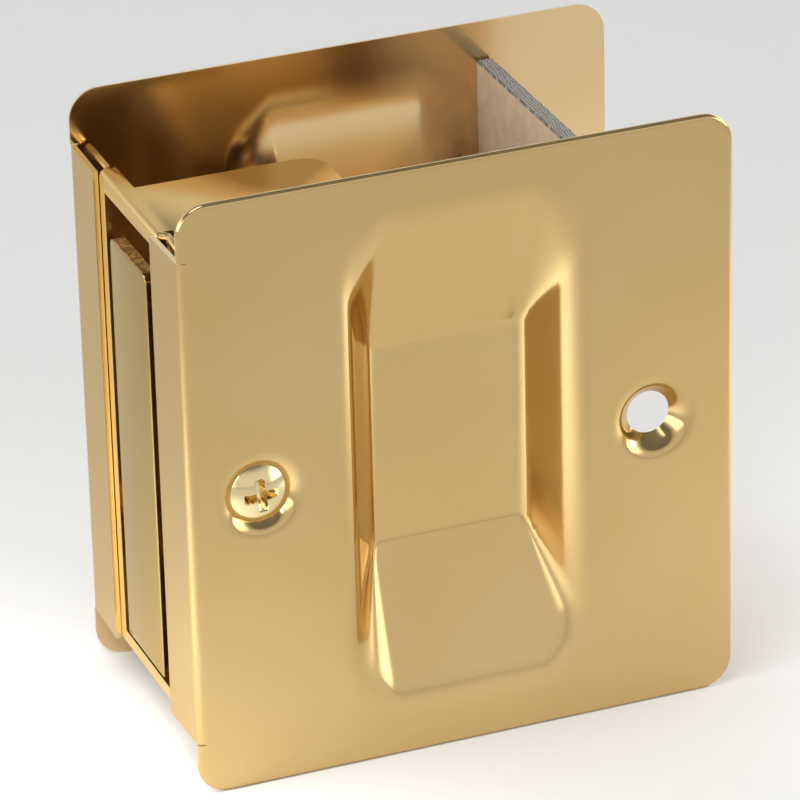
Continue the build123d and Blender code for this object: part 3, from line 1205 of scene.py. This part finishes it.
@dataclass
class OvalHeadScrew:
    """The through screw: an oval head with a cross recess and a threaded shank."""

    shank_r: float = 1.75
    head_r: float = 3.4
    dome: float = 1.1
    length: float = 24.0
    chamfer: float = 0.5
    arm_half: float = 1.95
    arm_width: float = 1.05
    recess_depth: float = 1.45
    recess_turn: float = 6.0
    side_steepness: float = 5.0
    end_steepness: float = 1.6
    thread: Thread = field(default_factory=lambda: Thread(start=-25.8, end=-7.0))

    def recess(self, x: np.ndarray, y: np.ndarray) -> np.ndarray:
        """Depth of the cross: the greater of two crossed slots whose walls slope inwards.

        Each slot's depth grows with the distance inside its outline, up to the recess's depth, and
        the arms get shallower towards their ends.

        Args:
            x: Places across the head.
            y: Places along it.

        Returns:
            Depth below the dome.
        """
        turn = math.radians(self.recess_turn)
        u, v = x * math.cos(turn) + y * math.sin(turn), y * math.cos(turn) - x * math.sin(turn)
        depth = np.zeros_like(x)
        for a, b in ((u, v), (v, u)):
            across = self.arm_width / 2 - np.abs(b)
            along = self.arm_half - np.abs(a)
            wall = np.minimum(across * self.side_steepness, along * self.end_steepness)
            depth = np.maximum(depth, np.clip(wall, 0, self.recess_depth))
        return depth

    def build(self, finishes: Finishes) -> None:
        """Turns the screw, sinks the cross into its dome and seats it in the left dimple.

        Args:
            finishes: The set's finishes.
        """
        rim_z = (self.head_r - SIZES.hole_r) / SIZES.slant - SIZES.dimple_depth
        neck_z = rim_z - (self.head_r - self.shank_r) / SIZES.slant
        ball = (self.head_r**2 + self.dome**2) / (2 * self.dome)
        radius = np.linspace(0, self.head_r - 0.08, 58)
        crown = np.stack([radius, rim_z + self.dome - ball + np.sqrt(ball**2 - radius**2)], -1)
        rim = np.array([[self.head_r, rim_z - 0.03], [self.head_r - 0.05, rim_z - 0.12]])
        neck = np.array([[self.shank_r + 0.1, neck_z + 0.12], [self.shank_r, neck_z - 0.1]])
        tip_z = neck_z - self.length
        shank_z = np.linspace(neck_z - 0.2, tip_z + self.chamfer, 300)
        shank = np.stack([np.full_like(shank_z, self.shank_r), shank_z], -1)
        tip = np.array([[self.shank_r - self.chamfer, tip_z], [0.0, tip_z]])
        surface = turned_surface(np.concatenate([crown, rim, neck, shank, tip]), 144, self.thread.ripple)
        on_head = surface.points[:, 2] > rim_z - 0.02
        sunk = self.recess(surface.points[:, 0], surface.points[:, 1])
        surface.points[:, 2] -= np.where(on_head, sunk, 0.0)
        surface = surface.moved(lambda points: seated(points, SIZES.hole_xs[0], Face.FRONT))
        piece = make_piece("front_screw_oval", surface, [finishes.screw], 50.0)
        stand_in(piece, "front_screw", ROOT_BODY)


@dataclass
class RearPost:
    """A post with a screw's bore, swaged into a dimple of the rear plate."""

    x: float
    node: str
    post_r: float = 2.4
    head_r: float = 3.4
    dome: float = 0.5
    length: float = 22.0
    bore_r: float = 1.76
    bore_depth: float = 16.0
    lip: float = 0.25

    def build(self, finishes: Finishes) -> None:
        """Turns the post: domed head, cone, shank, eased mouth and a blind bore with a flat floor.

        Args:
            finishes: The set's finishes.
        """
        rim_z = (self.head_r - SIZES.hole_r) / SIZES.slant - SIZES.dimple_depth
        neck_z = rim_z - (self.head_r - self.post_r) / SIZES.slant
        ball = (self.head_r**2 + self.dome**2) / (2 * self.dome)
        radius = np.linspace(0, self.head_r, 24)
        crown = np.stack([radius, rim_z + self.dome - ball + np.sqrt(ball**2 - radius**2)], -1)
        tip_z = neck_z - self.length
        floor_z = tip_z + self.bore_depth
        outline = [
            (self.post_r, neck_z), (self.post_r, tip_z + self.lip), (self.post_r - self.lip, tip_z),
            (self.bore_r + self.lip / 2, tip_z), (self.bore_r, tip_z + self.lip / 2),
        ]  # fmt: skip
        bore_z = np.linspace(tip_z + self.lip, floor_z, 120)
        bore = np.stack([np.full_like(bore_z, self.bore_r), bore_z], -1)
        profile = np.concatenate([crown, np.array(outline), bore, [[0.0, floor_z]]])
        surface = turned_surface(profile, 64).moved(lambda points: seated(points, self.x, Face.REAR))
        piece = make_piece(self.node + "_turned", surface, [finishes.screw])
        stand_in(piece, self.node, ROOT_BODY)


# Board


@dataclass
class SpacerBoard:
    """Chipboard strip pinched between the plates, with rough cut edges."""

    left_x: float = 16.21
    thick: float = 1.68
    half_width: float = 17.08
    bottom_z: float = 4.33
    top_z: float = 65.5
    corner: float = 0.4
    roughness: float = 0.16
    torn_reach: float = 0.6
    dent_depth: float = 0.05
    seed: int = 7

    def wander(self, a: np.ndarray, b: np.ndarray, size: float) -> np.ndarray:
        """Seeded smooth noise between -1 and 1: a sum of sines of growing frequency.

        Args:
            a: First place, in millimetres.
            b: Second place.
            size: Length of the longest wave.

        Returns:
            Noise at each place.
        """
        chance = np.random.default_rng(self.seed)
        total = np.zeros(np.broadcast(a, b).shape)
        for octave in range(5):
            heading, phase = chance.uniform(0, 2 * np.pi, 2)
            wave = 2 * np.pi * 1.8**octave / size
            total = total + np.sin(wave * (a * np.cos(heading) + b * np.sin(heading)) + phase) / 1.5**octave
        return total / 2.6

    def build(self) -> None:
        """A rectangle carried up the board, with rings that close over its top and bottom.

        The outline's half width shortens at both ends by the corner. On the cut ends the height is
        lowered by layered noise, and both skins are dented by a little slow noise.
        """
        z_side = spaced([self.bottom_z, self.bottom_z + self.corner, self.top_z - self.corner, self.top_z], 0.5)
        across = np.linspace(-1, 1, 90)
        depth = np.linspace(0, 1, 9)
        loop_y = np.concatenate([across, np.ones(8), across[::-1][1:], -np.ones(7)])
        loop_x = np.concatenate([np.zeros(90), depth[1:], np.ones(89), depth[::-1][1:-1]])
        cut = np.maximum(self.corner - np.minimum(z_side - self.bottom_z, self.top_z - z_side), 0)
        y = loop_y[None, :] * (self.half_width - cut[:, None])
        z = z_side[:, None] + 0 * y
        x = self.left_x + self.thick * loop_x[None, :] + 0 * y
        body = np.stack([x, y, z], -1)
        shrink = np.array([0.8, 0.55, 0.3, 0.1, 0.0])[:, None]
        caps = []
        for end in (0, -1):
            middle = self.left_x + self.thick / 2
            cap_x = middle + (x[end] - middle)[None, :] * shrink
            cap_y = y[end][None, :] + 0 * cap_x
            caps.append(np.stack([cap_x, cap_y, 0 * cap_x + z_side[end]], -1))
        grid = np.concatenate([caps[0][::-1], body, caps[1]])
        x, y, z = grid[..., 0], grid[..., 1], grid[..., 2]
        torn = self.roughness * (0.5 + 0.5 * self.wander(x * 6.0, y, 4.0))
        near_top = np.clip(1 - (self.top_z - z) / self.torn_reach, 0, 1)
        near_bottom = np.clip(1 - (z - self.bottom_z) / self.torn_reach, 0, 1)
        grid[..., 2] = z - torn * near_top + torn * near_bottom
        dent = self.dent_depth * (0.5 + 0.5 * self.wander(y, z, 9.0))
        grid[..., 0] = x + np.where(x < self.left_x + self.thick / 2, dent, -dent)
        finish = ChipboardFinish("chipboard", self.top_z, self.left_x).material()
        piece = make_piece("spacer_board_cut", Surface.from_grid(grid, True), [finish], 60.0)
        stand_in(piece, "spacer_board", ROOT_BODY)


# Studio


@dataclass(frozen=True)
class SoftBox:
    """One rectangular soft light, aimed at a point."""

    name: str
    place: Colour
    size: tuple[float, float]
    power: float
    target: Colour = (0.0, 0.0, 0.035)

    def build(self) -> None:
        """Hangs the light."""
        lamp = bpy.data.lights.new(self.name, "AREA")
        lamp.shape = "RECTANGLE"
        lamp.size, lamp.size_y = self.size
        lamp.energy = self.power
        holder = bpy.data.objects.new(self.name, lamp)
        holder.location = self.place
        way = Vector(self.target) - Vector(self.place)
        holder.rotation_euler = way.to_track_quat("-Z", "Y").to_euler()
        bpy.context.scene.collection.objects.link(holder)


@dataclass
class Studio:
    """Pale floor, soft lights, and a camera where the photograph was taken from.

    Each stop of the sky is (direction's Z + 1) / 2 and the colour there. side_span is the square of
    the direction's X over which the sides brighten, and side_rise the square of its Z over which
    that fades.
    """

    lens: float = 254.18
    eye: Colour = (-0.201537, -0.525588, 0.307276)
    right: Colour = (0.92967, -0.36766, -0.02334)
    up: Colour = (0.18024, 0.39867, 0.89921)
    back: Colour = (-0.3213, -0.84017, 0.4369)
    floor_half: float = 3000.0
    floor_gap: float = 0.05
    floor_colour: Colour = (0.90, 0.90, 0.89)
    floor_grain: float = 0.015
    sky: tuple[tuple[float, Colour], ...] = (
        (0.0, (0.62, 0.62, 0.62)),
        (0.5, (0.82, 0.82, 0.82)),
        (0.58, (0.88, 0.88, 0.88)),
        (0.66, (0.86, 0.86, 0.86)),
        (0.74, (0.76, 0.76, 0.76)),
        (0.81, (0.22, 0.22, 0.22)),
        (1.0, (0.30, 0.30, 0.30)),
    )
    side_gain: float = 2.3
    side_span: tuple[float, float] = (0.30, 0.60)
    side_rise: tuple[float, float] = (0.25, 0.10)
    boxes: tuple[SoftBox, ...] = (
        SoftBox("overhead", (-0.2, -0.12, 0.75), (0.45, 0.45), 1.7),
        SoftBox("left_fill", (-0.080, -0.020, 0.05), (0.08, 0.04), 0.055, target=(-0.080, -0.020, 0.0)),
        SoftBox("right_fill", (0.115, -0.035, 0.055), (0.05, 0.03), 0.05, target=(0.115, -0.035, 0.0)),
    )

    def camera(self) -> None:
        """Sets the camera by its three axes and its place."""
        eye = bpy.data.cameras.new("photo_camera")
        eye.lens = self.lens
        eye.sensor_width = 36.0
        eye.clip_start, eye.clip_end = 0.05, 20.0
        holder = bpy.data.objects.new("photo_camera", eye)
        holder.matrix_world = Matrix(
            [(*row, place) for *row, place in zip(self.right, self.up, self.back, self.eye)] + [(0, 0, 0, 1)]
        )
        bpy.context.scene.collection.objects.link(holder)
        bpy.context.scene.camera = holder

    def floor(self) -> None:
        """A wide pale floor just under the plates, with a faint paper grain."""
        x, y = np.meshgrid([-self.floor_half, self.floor_half], [-self.floor_half, self.floor_half])
        grid = np.stack([x, y, np.full_like(x, -self.floor_gap)], -1)
        paint = Paint.named("paper_floor")
        grain = paint.noise(paint.place(), 300.0, 3.0)
        darker = tuple(part * (1 - self.floor_grain) for part in self.floor_colour)
        tone = paint.mix(grain, darker, self.floor_colour)
        finish = paint.finish(Base_Color=tone, Roughness=0.9, Specular_IOR_Level=0.1)
        piece = make_piece("floor", Surface.from_grid(grid), [finish])
        if piece.data.polygons[0].normal.z < 0:
            piece.data.flip_normals()

    def world(self) -> None:
        """Soft surroundings: pale walls that are brighter at both sides, and a darker ceiling.

        The colour follows the direction's Z. Its strength is 1 and rises by side_gain where X squared
        is great and Z squared is small.
        """
        bpy.context.scene.world = bpy.data.worlds.new("studio")
        paint = Paint(bpy.context.scene.world)
        way = Flow(paint, paint.node("ShaderNodeTexCoord").outputs["Generated"])
        parts = paint.node("ShaderNodeSeparateXYZ", None, {"Vector": way})
        across, height = Flow(paint, parts.outputs["X"]), Flow(paint, parts.outputs["Z"])
        shade = paint.node("ShaderNodeValToRGB", {"stops": self.sky}, {"Fac": height * 0.5 + 0.5})
        sides = (across * across).between(*self.side_span) * (height * height).between(*self.side_rise)
        glow = paint.node(
            "ShaderNodeBackground",
            None,
            {"Color": Flow(paint, shade.outputs["Color"]), "Strength": sides * self.side_gain + 1.0},
        )
        out = paint.node("ShaderNodeOutputWorld")
        paint.tree.links.new(glow.outputs[0], out.inputs["Surface"])

    def build(self) -> None:
        """Sets up the whole studio."""
        self.camera()
        self.floor()
        self.world()
        for box in self.boxes:
            box.build()
        bpy.context.scene.view_settings.view_transform = "Standard"


def main() -> None:
    """Builds the studio and every piece, in order."""
    logging.basicConfig(level=logging.INFO, format="%(name)s: %(message)s")
    bpy.context.view_layer.update()
    finishes = Finishes()
    Studio().build()
    PlateStamping().build(finishes)
    EdgeCase().build(finishes)
    FingerPull().build(finishes)
    PullPin().build(finishes)
    ReturnSpring().build(finishes)
    OvalHeadScrew().build(finishes)
    for x, node in zip(SIZES.hole_xs, ("rear_post_left", "rear_post_right")):
        RearPost(x, node).build(finishes)
    SpacerBoard().build()
    bpy.context.view_layer.update()


if __name__ == "__main__":
    main()
